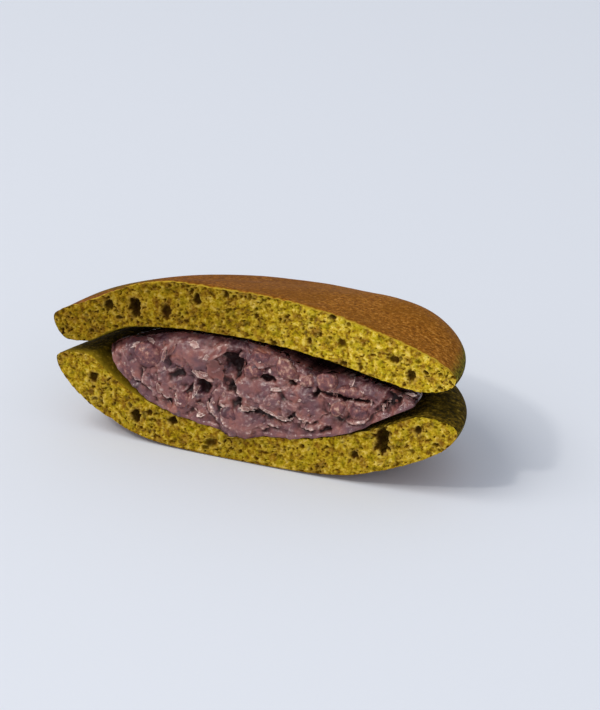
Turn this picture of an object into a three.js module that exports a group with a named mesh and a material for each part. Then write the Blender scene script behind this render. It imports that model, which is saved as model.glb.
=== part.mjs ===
// A dorayaki cut in half, in millimetres. Two round sponge pancakes lie one on the other with a sweet red
// bean filling between them, and the cut shows all three. The cut faces -Y and its length runs along X,
// +Z is up. The half lies on the crust of its lower pancake, tipped a little back, on a flat spot pressed
// by its weight.
//
// The pieces are worked out upright, in the frame of the pancakes' common axis: x along the cut, y back
// from it, z up the axis. The group that holds them is then tipped back and set down.

import * as THREE from "three";

// Driving dimensions.
const pancakeRadius = 46.6; // 93 mm across
const cutOffset = 4.5; // how far behind the pancakes' middle the cut runs
const tipBack = THREE.MathUtils.degToRad(6); // angle of the pancakes' axis behind the vertical
const footHeight = 1; // height of the pressed flat spot at the cut, above the crust's lowest point
const halfDepth = 22.12; // the middle of the tipped half, behind the foot of the cut face
const clearance = 0.45; // between the filling and the pancakes

// A pancake is a dome of crust outside and a shallow dish inside, and both end in a rolled rim. Heights
// are those of the widest line of the rim. Where a size is different at the two ends of the cut and round
// the back, it has three values, and its value towards the middle is the plain one.
const upper = {
  centreX: -0.47,
  rim: { middle: 26.4, right: 27.4, left: 25.4, back: 27.9 },
  shoulder: { middle: 2.8, right: 2.2, left: 2.0, back: 2.8 }, // the rim's round edge on the crust side
  roll: { middle: 3.3, right: 4.3, left: 5.4, back: 7.0 }, // the rim's round edge on the inner side
  rollPower: 10,
  domeRise: 9.3,
  domePower: 1.95,
  dishDepth: 4.9,
  dishPower: 2.05,
  crustSlant: 0,
  innerSlant: -1.2,
  side: 1, // the crust is above the rim
};
const lower = {
  centreX: 0.47,
  rim: { middle: 16.3, right: 16.2, left: 16.4, back: 16.3 },
  shoulder: { middle: 3.5, right: 3.5, left: 3.5, back: 3.5 },
  roll: { middle: 2.3, right: 2.7, left: 2.4, back: 4.0 },
  rollPower: 14,
  domeRise: 12.8,
  domePower: 2.6,
  dishDepth: 10.9,
  dishPower: 2.3,
  crustSlant: 1.3,
  innerSlant: 2,
  side: -1, // the crust is below the rim
};
const edgePower = 14; // how late the dome turns over into the rim: more is later and tighter
const dishReach = 0.82; // the dish's edge, as a share of the radius
const slantPower = 6; // how late a slant levels out towards the rim
const endSpread = 0.3; // radians from the cut over which an end's own size fades out
const swells = [
  { x: 39, y: 25, width: 30, depth: 14, rise: 4.4 },
  { x: -22, y: 0, width: 10, depth: 14, rise: 1.2 },
  { x: -38, y: 17, width: 13, depth: 11, rise: -3.4 },
]; // where the upper dome is fuller or flatter: the middles, how far they spread, how high they rise
const backFall = 3.8; // how much lower the upper dome would stand a radius behind the cut

// The filling is a flat heap, half an ellipse in plan, that follows the dishes above and below it. Its
// right end runs out thinner than its left end.
const filling = {
  centreX: 2.2,
  halfLength: 35,
  depth: 26,
  edgeHeight: 21.2, // of its round edge, at the cut
  edgeFall: 1.6, // how much lower the edge lies at the back
  leftPower: 8,
  rightPower: 4,
};
const settled = [
  { x: 14, width: 7, depth: 12, drop: 2.4 },
  { x: -26, width: 6, depth: 10, drop: 1.2 },
]; // where its top has sunk at the cut

// What shows on the cut: holes in the crumb, and the lumps and hollows of the bean paste. Each is an
// ellipse at x, z on the cut face, width across and height up, and depth into the piece. A lump has a
// negative depth.
const upperHoles = [
  { x: -33.9, z: 30.1, width: 2.2, height: 2.2, depth: 0.9 },
  { x: -27.6, z: 30.5, width: 2.4, height: 4.2, depth: 1.6 },
  { x: -20.3, z: 31.0, width: 2.6, height: 2.8, depth: 0.8 },
  { x: -13.0, z: 34.6, width: 1.6, height: 2.2, depth: 0.8 },
  { x: 17.9, z: 36.4, width: 1.5, height: 1.5, depth: 0.8 },
  { x: 20.3, z: 30.9, width: 2.4, height: 2.0, depth: 0.5 },
  { x: 32.0, z: 29.5, width: 2.8, height: 1.6, depth: 0.7 },
  { x: 36.1, z: 26.8, width: 1.8, height: 2.6, depth: 1.0 },
];
const lowerHoles = [
  { x: -37.0, z: 13.5, width: 2.2, height: 2.2, depth: 0.8 },
  { x: -26.6, z: 6.6, width: 1.9, height: 3.0, depth: 1.2 },
  { x: -17.9, z: 7.1, width: 2.5, height: 1.7, depth: 1.1 },
  { x: -8.7, z: 3.9, width: 2.8, height: 2.0, depth: 0.5 },
  { x: 24.5, z: 7.4, width: 2.0, height: 1.7, depth: 0.8 },
  { x: 30.5, z: 11.9, width: 2.9, height: 4.9, depth: 2.0 },
  { x: 38.0, z: 15.4, width: 1.6, height: 1.6, depth: 0.8 },
];
const fillingLumps = [
  { x: -29.1, z: 18.9, width: 7, height: 7, depth: -0.5 },
  { x: -24.2, z: 20.3, width: 7, height: 6, depth: -1.6 },
  { x: -20.1, z: 15.9, width: 7, height: 6, depth: -0.9 },
  { x: -15.4, z: 22.9, width: 7, height: 5, depth: -0.8 },
  { x: -14.4, z: 12.8, width: 6, height: 5, depth: -0.9 },
  { x: -8.2, z: 20.8, width: 6, height: 7, depth: -1.5 },
  { x: -11.1, z: 16.1, width: 4, height: 4, depth: 1.6 },
  { x: -3.9, z: 21.5, width: 4, height: 6, depth: 2.6 },
  { x: -3.9, z: 10.3, width: 11, height: 7, depth: -1.6 },
  { x: 0.3, z: 18.1, width: 9, height: 6, depth: -1.1 },
  { x: 7.8, z: 22.2, width: 5, height: 6, depth: -1.0 },
  { x: 7.6, z: 13.3, width: 9, height: 4, depth: -0.9 },
  { x: 12.6, z: 15.6, width: 8, height: 5, depth: -0.8 },
  { x: 16.1, z: 21.0, width: 6, height: 5, depth: -1.2 },
  { x: 19.5, z: 16.1, width: 5, height: 4, depth: -0.9 },
  { x: 22.8, z: 20.0, width: 7, height: 4.5, depth: -1.5 },
  { x: 25.9, z: 14.5, width: 6, height: 4, depth: -0.6 },
];
const crumbGrain = 0.22; // how rough the cut crumb is
const pasteGrain = 0.3; // how rough the cut filling is

// How finely the pieces are divided: sections along the cut, rows up the cut face, rows from the cut to
// the rim over the top and along the underside.
const pancakeGrid = { sections: 88, faceRows: 9, topRows: 10, undersideRows: 12 };
const fillingGrid = { sections: 60, faceRows: 12, topRows: 6, undersideRows: 6 };
const tipCrowding = 1.4; // sections lie closer towards the two tips
const rimCrowding = 2.5; // rows lie closer towards the rim

// A small generator of random numbers from 0 to 1, the same ones each time.
function seededRandom(seed) {
  let state = seed;
  return () => {
    state = (state * 1664525 + 1013904223) % 4294967296;
    return state / 4294967296;
  };
}

const smoothStep = (value, start, end) => THREE.MathUtils.smoothstep(value, start, end);

// 1 inside, turning down to 0 at out = 1.
const roundEdge = (out, power) => Math.sqrt(Math.max(0, 1 - out ** power));

// Where a point lies on a pancake: how far out, 0 at its middle and 1 at the rim, and which way from the
// cut's own middle, 0 towards its right end and half a turn towards its left end.
function placeOn(pancake, x, y) {
  const across = x - pancake.centreX;
  return { out: Math.hypot(across, y + cutOffset) / pancakeRadius, way: Math.atan2(y, across) };
}

// A size that has its own values at the ends of the cut and round the back takes them on towards the rim.
function sizeAt(size, out, way) {
  const nearRight = Math.exp(-((way / endSpread) ** 2));
  const nearLeft = Math.exp(-(((Math.PI - way) / endSpread) ** 2));
  const atRim = size.back + (size.right - size.back) * nearRight + (size.left - size.back) * nearLeft;
  return size.middle + (atRim - size.middle) * smoothStep(out, 0.6, 0.92);
}

// A side hangs lower at one end of the cut than at the other, but no longer where it meets the rim, at
// reach.
const slanted = (slant, x, out, reach) =>
  ((slant * x) / pancakeRadius) * Math.max(0, 1 - (out / reach) ** slantPower);

// The crust's height: the rim's line, then the round shoulder and the dome, away from the other pancake.
function crustHeight(pancake, x, y) {
  const { out, way } = placeOn(pancake, x, y);
  const shoulder = sizeAt(pancake.shoulder, out, way) * roundEdge(out, edgePower);
  const dome = pancake.domeRise * (1 - out ** pancake.domePower);
  const slant = slanted(pancake.crustSlant, x, out, 1);
  return sizeAt(pancake.rim, out, way) + pancake.side * (shoulder + dome) + slant;
}

// The inner side's height: the rim rolls towards the other pancake, and the dish goes back from it.
function innerHeight(pancake, x, y) {
  const { out, way } = placeOn(pancake, x, y);
  const roll = sizeAt(pancake.roll, out, way) * roundEdge(out, pancake.rollPower);
  const dish = pancake.dishDepth * Math.max(0, 1 - (out / dishReach) ** pancake.dishPower);
  const slant = slanted(pancake.innerSlant, x, out, dishReach);
  return sizeAt(pancake.rim, out, way) + pancake.side * (dish - roll) + slant;
}

function upperCrust(x, y) {
  const { out } = placeOn(upper, x, y);
  const fuller = (total, { x: atX, y: atY, width, depth, rise }) =>
    total + rise * Math.exp(-(((x - atX) / width) ** 2) - ((y - atY) / depth) ** 2);
  const shift = swells.reduce(fuller, (-backFall * y) / pancakeRadius);
  return crustHeight(upper, x, y) + shift * (1 - out ** slantPower);
}

// The lower crust is flat where it rests, on the plane that is level once the half is tipped back.
function lowerCrust(x, y) {
  const ground = footHeight + y * Math.tan(tipBack);
  return Math.max(ground, crustHeight(lower, x, y));
}

const upperInner = (x, y) => innerHeight(upper, x, y);
const lowerInner = (x, y) => innerHeight(lower, x, y);

// The filling's edge is round: both its faces close on one height there, which falls towards the back.
// Inside, it fills the space between the dishes, apart from where its top has settled at the cut.
function closeOnEdge(full, x, y) {
  const out = Math.hypot((x - filling.centreX) / filling.halfLength, y / filling.depth);
  const toRight = smoothStep(x, -filling.halfLength, filling.halfLength);
  const power = filling.leftPower + (filling.rightPower - filling.leftPower) * toRight;
  const edge = filling.edgeHeight - filling.edgeFall * (y / filling.depth);
  return edge + (full - edge) * roundEdge(out, power);
}

function fillingTop(x, y) {
  const sunken = (total, { x: atX, width, depth, drop }) =>
    total + drop * Math.exp(-(((x - atX) / width) ** 2) - (y / depth) ** 2);
  return closeOnEdge(upperInner(x, y) - clearance - settled.reduce(sunken, 0), x, y);
}

const fillingUnderside = (x, y) => closeOnEdge(lowerInner(x, y) + clearance, x, y);

// How deep each piece reaches behind the cut at a share of its half length, 0 in the middle and 1 at a
// tip.
const pancakeHalfLength = Math.sqrt(pancakeRadius ** 2 - cutOffset ** 2);
const pancakeReach = (share) =>
  Math.sqrt(pancakeRadius ** 2 - (share * pancakeHalfLength) ** 2) - cutOffset;
const fillingReach = (share) => filling.depth * Math.sqrt(1 - share ** 2);

// How far the cut face lies behind its plane at x, z: the features that cover the place, one over the
// other.
function faceRelief(features, x, z) {
  let depth = 0;
  for (const feature of features) {
    const out = Math.hypot((x - feature.x) / (feature.width / 2), (z - feature.z) / (feature.height / 2));
    depth += feature.depth * Math.max(0, 1 - (out / 1.25) ** 2) ** 2;
  }
  return depth;
}

// A closed half disc. Its sections lie across the cut from the left tip to the right tip, and each is a
// loop: up the cut face, over the top to the rim, and back along the underside. Both tips are single
// points.
function halfDisc({ centreX, halfLength, reachAt, top, underside, features, grain, grid, seed }) {
  const random = seededRandom(seed);
  const vertices = [];
  const faces = [];
  const rowAt = (row, rows) => 1 - (1 - row / rows) ** rimCrowding;

  const addSection = (x, reach) => {
    const low = underside(x, 0);
    const high = top(x, 0);
    vertices.push([x, 0, low]);
    for (let row = 1; row < grid.faceRows; row++) {
      const z = low + ((high - low) * row) / grid.faceRows;
      const rough = grain * (random() - 0.5) * Math.min(1, high - low);
      vertices.push([x, faceRelief(features, x, z) + rough, z]);
    }
    for (let row = 0; row <= grid.topRows; row++) {
      const y = reach * rowAt(row, grid.topRows);
      vertices.push([x, y, top(x, y)]);
    }
    for (let row = grid.undersideRows - 1; row > 0; row--) {
      const y = reach * rowAt(row, grid.undersideRows);
      vertices.push([x, y, underside(x, y)]);
    }
  };

  const tip = (side) => {
    const x = centreX + side * halfLength;
    vertices.push([x, 0, top(x, 0)]);
    return vertices.length - 1;
  };

  const leftTip = tip(-1);
  const loopLength = grid.faceRows + grid.topRows + grid.undersideRows;
  const firstLoop = vertices.length;
  for (let section = 1; section < grid.sections; section++) {
    const along = (2 * section) / grid.sections - 1;
    const share = Math.sign(along) * (1 - (1 - Math.abs(along)) ** tipCrowding);
    addSection(centreX + halfLength * share, reachAt(share));
  }
  const rightTip = tip(1);

  const lastLoop = firstLoop + (grid.sections - 2) * loopLength;
  for (let step = 0; step < loopLength; step++) {
    const next = (step + 1) % loopLength;
    faces.push([leftTip, firstLoop + step, firstLoop + next]);
    for (let loop = firstLoop; loop < lastLoop; loop += loopLength) {
      const beyond = loop + loopLength;
      faces.push([loop + step, beyond + step, beyond + next], [loop + step, beyond + next, loop + next]);
    }
    faces.push([lastLoop + step, rightTip, lastLoop + next]);
  }

  const geometry = new THREE.BufferGeometry();
  geometry.setAttribute("position", new THREE.Float32BufferAttribute(vertices.flat(), 3));
  geometry.setIndex(faces.flat());
  geometry.computeVertexNormals();
  return geometry;
}

function makePiece(name, geometry, finish) {
  const piece = new THREE.Mesh(geometry, new THREE.MeshStandardMaterial(finish));
  piece.name = name;
  return piece;
}

const greenSponge = { color: "#8f7a22", roughness: 0.9, metalness: 0 };
const beanPaste = { color: "#6b4c4a", roughness: 0.45, metalness: 0 };

const upperPancake = makePiece(
  "upper_pancake",
  halfDisc({
    centreX: upper.centreX,
    halfLength: pancakeHalfLength,
    reachAt: pancakeReach,
    top: upperCrust,
    underside: upperInner,
    features: upperHoles,
    grain: crumbGrain,
    grid: pancakeGrid,
    seed: 11,
  }),
  greenSponge,
);

const beanFilling = makePiece(
  "bean_filling",
  halfDisc({
    centreX: filling.centreX,
    halfLength: filling.halfLength,
    reachAt: fillingReach,
    top: fillingTop,
    underside: fillingUnderside,
    features: fillingLumps,
    grain: pasteGrain,
    grid: fillingGrid,
    seed: 23,
  }),
  beanPaste,
);

const lowerPancake = makePiece(
  "lower_pancake",
  halfDisc({
    centreX: lower.centreX,
    halfLength: pancakeHalfLength,
    reachAt: pancakeReach,
    top: lowerInner,
    underside: lowerCrust,
    features: lowerHoles,
    grain: crumbGrain,
    grid: pancakeGrid,
    seed: 37,
  }),
  greenSponge,
);

// Tipped back about the foot of the cut, with the flat spot level at z = 0 and the half centred over the
// origin.
const dorayaki = new THREE.Group();
dorayaki.add(upperPancake, beanFilling, lowerPancake);
dorayaki.rotation.x = -tipBack;
dorayaki.position.set(0, -halfDepth, -footHeight * Math.cos(tipBack));

export default dorayaki;
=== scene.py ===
# A dorayaki cut in half: green tea sponge above and below, with coarse sweet bean paste between.
# Shapes are worked out in millimetres, upright in the pancakes' own frame (x along the cut, y back from
# it, z up their axis), then tipped back and set down as the frame has them, in metres.

import math

import bpy
import numpy as np
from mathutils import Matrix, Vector


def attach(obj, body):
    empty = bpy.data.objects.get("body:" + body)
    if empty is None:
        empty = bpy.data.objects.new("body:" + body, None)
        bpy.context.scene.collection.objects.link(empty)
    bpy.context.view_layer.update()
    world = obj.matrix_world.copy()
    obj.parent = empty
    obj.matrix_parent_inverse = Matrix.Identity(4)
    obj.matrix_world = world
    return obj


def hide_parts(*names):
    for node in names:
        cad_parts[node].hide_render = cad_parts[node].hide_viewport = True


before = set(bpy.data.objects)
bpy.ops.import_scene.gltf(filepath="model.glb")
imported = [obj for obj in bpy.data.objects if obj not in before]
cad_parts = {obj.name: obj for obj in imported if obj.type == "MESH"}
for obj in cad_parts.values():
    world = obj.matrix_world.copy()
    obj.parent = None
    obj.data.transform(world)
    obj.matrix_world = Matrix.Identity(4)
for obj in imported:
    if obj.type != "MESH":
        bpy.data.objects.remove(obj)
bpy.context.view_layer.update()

mm = 0.001  # metres in a millimetre

# How the half lies: its radius and where the cut runs, and how far it tips back on its pressed foot.
lie = {
    "radius": 46.6,
    "cutOffset": 4.5,  # the cut runs this far behind the pancakes' middle
    "tipBack": math.radians(6),
    "footHeight": 1.0,
    "halfDepth": 22.12,
    "clearance": 0.45,  # between paste and sponge
}


def toRow(points):
    # Turn about X so that high points go back, then shift the foot's height to 0 and centre the depth.
    x, y, z = points[..., 0], points[..., 1], points[..., 2]
    back, up = math.sin(lie["tipBack"]), math.cos(lie["tipBack"])
    rowY = y * up + z * back - lie["halfDepth"]
    rowZ = z * up - y * back - lie["footHeight"] * up
    return np.stack([x, rowY, rowZ], axis=-1) * mm


def smoothStep(value, start, end):
    # 0 before start and 1 after end, with a cubic ease between.
    part = np.clip((value - start) / (end - start), 0, 1)
    return part * part * (3 - 2 * part)


def latticeNoise(points, size, seed):
    # Gradient noise: each corner of cubes `size` wide has a random slope, and the slopes' heights are
    # blended by cubic eases. About -1 to 1.
    cell = np.floor(points / size).astype(np.int64)
    part = points / size - cell
    ease = part * part * (3 - 2 * part)
    total = np.zeros(points.shape[:-1])
    for corner in np.ndindex(2, 2, 2):
        at = cell + corner
        mixed = at[..., 0] * 73856093 ^ at[..., 1] * 19349663 ^ at[..., 2] * 83492791 ^ seed * 2654435761
        mixed = (mixed ^ (mixed >> 13)) * 1274126177
        mixed = mixed ^ (mixed >> 16)
        height = 0
        for axis in range(3):
            slope = ((mixed >> (10 * axis)) & 1023) / 511.5 - 1
            height = height + slope * (part[..., axis] - corner[axis])
        total += height * np.prod(np.where(corner, ease, 1 - ease), axis=-1)
    return 1.9 * total


def layeredNoise(points, size, layers, seed):
    # Noise, then the same at half the size and half the height, and so on.
    heights = [latticeNoise(points, size / 2**layer, seed + layer) / 2**layer for layer in range(layers)]
    return sum(heights) / sum(1 / 2**layer for layer in range(layers))


def namedNoise(table, name, points, seed):
    # A noise of a table, which gives its size, its layers and how far its seed lies from the piece's.
    size, layers, step = table["noises"][name]
    return layeredNoise(points, size, layers, seed + step)


# The cut face is drawn on a raster first: fields over x and z, in cells of `pitch`.
cut = {"left": -48.0, "right": 48.0, "bottom": -1.0, "top": 40.0, "pitch": 0.08}
rasterX = np.arange(cut["left"], cut["right"], cut["pitch"])
rasterZ = np.arange(cut["bottom"], cut["top"], cut["pitch"])
rasterPoints = np.stack(
    [*np.meshgrid(rasterX, rasterZ, indexing="ij"), np.zeros((len(rasterX), len(rasterZ)))], axis=-1
)


def sampleRaster(field, x, z):
    # The field at x, z, between its four nearest cells.
    acrossAll = np.clip((x - cut["left"]) / cut["pitch"], 0, len(rasterX) - 1.001)
    upAll = np.clip((z - cut["bottom"]) / cut["pitch"], 0, len(rasterZ) - 1.001)
    across, up = acrossAll.astype(int), upAll.astype(int)
    a, b = acrossAll - across, upAll - up
    low = field[across, up] * (1 - a) + field[across + 1, up] * a
    high = field[across, up + 1] * (1 - a) + field[across + 1, up + 1] * a
    return low * (1 - b) + high * b


def windowAt(x, z, reach):
    # The part of the raster within reach of x, z, as slices with the offsets of its cells.
    spans = []
    for middle, edge in ((x, cut["left"]), (z, cut["bottom"])):
        start = max(0, int((middle - reach - edge) / cut["pitch"]))
        spans.append(slice(start, max(start, int((middle + reach - edge) / cut["pitch"]) + 2)))
    return tuple(spans), rasterX[spans[0], None] - x, rasterZ[None, spans[1]] - z


def softened(field, reach):
    # The field blurred by a bell curve `reach` wide, by way of its frequencies.
    alongX = np.fft.fftfreq(field.shape[0], cut["pitch"])[:, None]
    alongZ = np.fft.rfftfreq(field.shape[1], cut["pitch"])[None, :]
    bell = np.exp(-2 * (math.pi * reach) ** 2 * (alongX**2 + alongZ**2))
    return np.fft.irfft2(np.fft.rfft2(field) * bell, field.shape)


def swollen(height, x, y, swells):
    # The height with smooth swells on it, each from its x, y, width, depth and rise.
    for atX, atY, width, depth, rise in swells:
        height = height + rise * np.exp(-(((x - atX) / width) ** 2) - ((y - atY) / depth) ** 2)
    return height


def placeOn(pancake, x, y):
    # How far out a place is, 1 at the rim, and which way it lies from the cut's middle, 0 at its right end.
    across = x - pancake["centreX"]
    return np.hypot(across, y + lie["cutOffset"]) / lie["radius"], np.arctan2(y, across)


def roundEdge(out, power):
    # 1 inside, turning down to 0 at the rim.
    return np.sqrt(np.maximum(0, 1 - out**power))


def sizeAt(size, out, way):
    # The middle's size, and towards the rim the back's, the right end's or the left end's.
    endSpread = 0.3
    middleEnds, rimStarts = 0.6, 0.92
    nearRight = np.exp(-((way / endSpread) ** 2))
    nearLeft = np.exp(-(((math.pi - way) / endSpread) ** 2))
    middle, back = size["middle"], size["back"]
    atRim = back + (size["right"] - back) * nearRight + (size["left"] - back) * nearLeft
    return middle + (atRim - middle) * smoothStep(out, middleEnds, rimStarts)


def slanted(slant, x, out, reach):
    # A slant along the cut that levels out where it meets the rim, at reach.
    return slant * x / lie["radius"] * np.maximum(0, 1 - (out / reach) ** 6)


def crustHeight(pancake, x, y):
    # The rim's line, then the round shoulder and the dome, away from the other pancake.
    shoulderPower = 14
    out, way = placeOn(pancake, x, y)
    shoulder = sizeAt(pancake["shoulder"], out, way) * roundEdge(out, shoulderPower)
    dome = pancake["domeRise"] * (1 - out ** pancake["domePower"])
    slant = slanted(pancake["crustSlant"], x, out, 1)
    return sizeAt(pancake["rim"], out, way) + pancake["side"] * (shoulder + dome) + slant


def innerHeight(pancake, x, y):
    # The rim rolls towards the other pancake, and the dish goes back from it.
    out, way = placeOn(pancake, x, y)
    dishReach = 0.82
    roll = sizeAt(pancake["roll"], out, way) * roundEdge(out, pancake["rollPower"])
    dish = pancake["dishDepth"] * np.maximum(0, 1 - (out / dishReach) ** pancake["dishPower"])
    slant = slanted(pancake["innerSlant"], x, out, dishReach)
    return sizeAt(pancake["rim"], out, way) + pancake["side"] * (dish - roll) + slant


upperPancake = {
    "name": "upper_sponge",
    "node": "upper_pancake",
    "centreX": -0.47,
    "rim": {"middle": 26.4, "right": 27.4, "left": 25.4, "back": 27.9},
    "shoulder": {"middle": 2.8, "right": 2.2, "left": 2.0, "back": 2.8},
    "roll": {"middle": 3.3, "right": 4.3, "left": 5.4, "back": 7.0},
    "rollPower": 10,
    "domeRise": 9.3,
    "domePower": 1.95,
    "backFall": 3.8,  # how much lower the dome would stand a radius behind the cut
    # x, y, width, depth, rise: where the dome is fuller or flatter, and what fills out the left tip below
    "swells": [(39, 25, 30, 14, 4.4), (-22, 0, 10, 14, 1.2), (-38, 17, 13, 11, -3.4)],
    "tip": [(-44.3, 0, 2.4, 9, 1.1)],
    "dishDepth": 4.9,
    "dishPower": 2.05,
    "crustSlant": 0,
    "innerSlant": -1.2,
    "side": 1,  # the crust is above the rim
    "seed": 11,
    "shade": [(-46, -8, 16, 46), (0.85, 0.7, 0.1, 0.0)],  # the crumb is denser to the left, with more pits, and painted shade darkens crumb and crust there
    "holes": [  # x, z, width, height, depth on the cut, mm
        (-33.9, 30.1, 2.2, 2.2, 0.9),
        (-27.6, 30.5, 2.4, 4.2, 1.6),
        (-20.3, 31.0, 2.6, 2.8, 0.8),
        (-13.0, 34.6, 1.6, 2.2, 0.8),
        (17.9, 36.4, 1.5, 1.5, 0.8),
        (20.3, 30.9, 2.4, 2.0, 0.5),
        (32.0, 29.5, 2.8, 1.6, 0.7),
        (36.1, 26.8, 1.8, 2.6, 1.0),
    ],
}

lowerPancake = {
    "name": "lower_sponge",
    "node": "lower_pancake",
    "centreX": 0.47,
    "rim": {"middle": 16.3, "right": 16.2, "left": 16.4, "back": 16.3},
    "shoulder": {"middle": 3.5, "right": 3.5, "left": 3.5, "back": 3.5},
    "roll": {"middle": 2.3, "right": 2.7, "left": 2.4, "back": 4.0},
    "rollPower": 14,
    "domeRise": 12.8,
    "domePower": 2.6,
    "swells": [(-36, 17, 9, 10, 1.5)],  # of the rim, where the pancakes touch
    "dishDepth": 10.9,
    "dishPower": 2.3,
    "crustSlant": 1.3,
    "innerSlant": 2,
    "side": -1,  # the crust is below the rim
    "seed": 37,
    # painted shade on crumb and crust, most in the middle and least to the right; the crumb is also denser
    # where it is high
    "shade": [(-46, 0, 46), (0.45, 0.55, 0.25)],
    "holes": [
        (-37.0, 13.5, 2.2, 2.2, 0.8),
        (-26.6, 6.6, 1.9, 3.0, 1.2),
        (-17.9, 7.1, 2.5, 1.7, 1.1),
        (-8.7, 3.9, 2.8, 2.0, 0.5),
        (24.5, 7.4, 2.0, 1.7, 0.8),
        (30.5, 11.9, 2.9, 4.9, 2.0),
        (38.0, 15.4, 1.6, 1.6, 0.8),
    ],
}


def upperCrust(x, y):
    # The dome with its swells, which fade out at the rim.
    out, _ = placeOn(upperPancake, x, y)
    shift = swollen(-upperPancake["backFall"] * y / lie["radius"], x, y, upperPancake["swells"])
    return crustHeight(upperPancake, x, y) + shift * (1 - out**6)


def lowerCrust(x, y):
    # The dome below, cut off by the ground, which is a slope in the upright frame, with a soft corner.
    ground = lie["footHeight"] + y * math.tan(lie["tipBack"])
    crust = crustHeight(lowerPancake, x, y)
    corner = 2.5
    near = np.maximum(0, 1 - np.abs(crust - ground) / corner)
    return np.maximum(ground, crust) + corner / 4 * near**2


def upperInner(x, y):
    # The left tip is blunt.
    out, _ = placeOn(upperPancake, x, y)
    filled = swollen(0, x, y, upperPancake["tip"])
    return innerHeight(upperPancake, x, y) - filled * np.maximum(0, 1 - out**24)


def lowerInner(x, y):
    # The rim swells at the back left.
    out, _ = placeOn(lowerPancake, x, y)
    swell = swollen(0, x, y, lowerPancake["swells"])
    return innerHeight(lowerPancake, x, y) + swell * (1 - out**14)


# Sections lie along the cut and rows up its face, over the top to the rim and back along the underside.
spongeGrid = {"sections": 560, "faceRows": 82, "topRows": 56, "undersideRows": 34}


def tube(rings, length):
    # Quads between closed rings of points, then the fans that close its ends on the two points after them.
    start = np.arange(rings - 1)[:, None] * length
    step = np.arange(length)[None, :]
    after = (step + 1) % length
    quads = np.stack([start + step, start + length + step, start + length + after, start + after], axis=-1)
    firstTip, last = rings * length, (rings - 1) * length
    step, after = step[0], after[0]
    firstFan = np.stack([np.full(length, firstTip), step, after], axis=-1)
    lastFan = np.stack([last + step, np.full(length, firstTip + 1), last + after], axis=-1)
    return [quads.reshape(-1, 4), firstFan, lastFan]


def halfDisc(shape, grid, top, underside, torn):
    # Each section is a loop: up the cut face, over the top to the rim, back along the underside. The rim is
    # an ellipse, radiusX by radiusY, whose middle lies offset before the cut. Both tips are single points,
    # and torn moves the points of the face off the plane of the cut.
    tipCrowding, cutCrowding, rimCrowding = 1.25, 1.5, 1.8  # how much closer rows lie there
    along = np.linspace(-1, 1, grid["sections"] + 1)[1:-1]
    share = np.sign(along) * (1 - (1 - np.abs(along)) ** tipCrowding)
    turn = share * math.acos(shape["offset"] / shape["radiusY"])
    footX = shape["centreX"] + shape["halfLength"] * share
    rimX = shape["centreX"] + shape["radiusX"] * np.sin(turn)
    rimY = shape["radiusY"] * np.cos(turn) - shape["offset"]

    def rowsTo(rows, height):
        part = 1 - (1 - (np.arange(rows + 1) / rows) ** cutCrowding) ** rimCrowding
        x = footX[:, None] + (rimX - footX)[:, None] * part
        y = rimY[:, None] * part
        return np.stack([x, y, height(x, y)], axis=-1)

    over = rowsTo(grid["topRows"], top)
    under = rowsTo(grid["undersideRows"], underside)
    part = (np.arange(1, grid["faceRows"]) / grid["faceRows"])[None, :, None]
    face = torn(under[:, :1] * (1 - part) + over[:, :1] * part)
    loops = np.concatenate([under[:, :1], face, over, under[:, -2:0:-1]], axis=1)

    tipX, tipY = shape["centreX"] + np.array([-1, 1]) * shape["halfLength"], np.zeros(2)
    tips = np.stack([tipX, tipY, top(tipX, tipY)], axis=-1)
    sections, length = loops.shape[:2]
    points = np.concatenate([loops.reshape(-1, 3), tips])
    zone = np.repeat([0, 1, 2], [grid["faceRows"], grid["topRows"], grid["undersideRows"]])
    return points, tube(sections, length), np.tile(zone, sections + 1)


def addObject(name, data):
    added = bpy.data.objects.new(name, data)
    bpy.context.scene.collection.objects.link(added)
    return added


def addPiece(name, node, points, polygons, materials, zones, attributes):
    # A mesh from arrays of points and polygons, with a material number for each polygon where there are
    # zones, and a value of each attribute for each point. It stands for a node, or else only lies on one.
    mesh = bpy.data.meshes.new(name)
    mesh.vertices.add(len(points))
    mesh.vertices.foreach_set("co", points.astype(np.float32).ravel())
    corners = np.concatenate([polygon.ravel() for polygon in polygons]).astype(np.int32)
    sides = np.concatenate([np.full(len(polygon), polygon.shape[1]) for polygon in polygons])
    mesh.loops.add(len(corners))
    mesh.loops.foreach_set("vertex_index", corners)
    mesh.polygons.add(len(sides))
    mesh.polygons.foreach_set("loop_start", np.concatenate([[0], np.cumsum(sides)[:-1]]).astype(np.int32))
    for material in materials:
        mesh.materials.append(material)
    if zones is not None:
        mesh.polygons.foreach_set("material_index", zones.astype(np.int32))
    mesh.polygons.foreach_set("use_smooth", np.ones(len(sides), dtype=bool))
    for label, values in attributes.items():
        layer = mesh.attributes.new(label, "FLOAT", "POINT")
        layer.data.foreach_set("value", values.astype(np.float32))
    mesh.update(calc_edges=True)
    mesh.validate()
    piece = addObject(name, mesh)
    if node:
        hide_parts(node)
    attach(piece, "root")
    print(name, len(points), "points")


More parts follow.
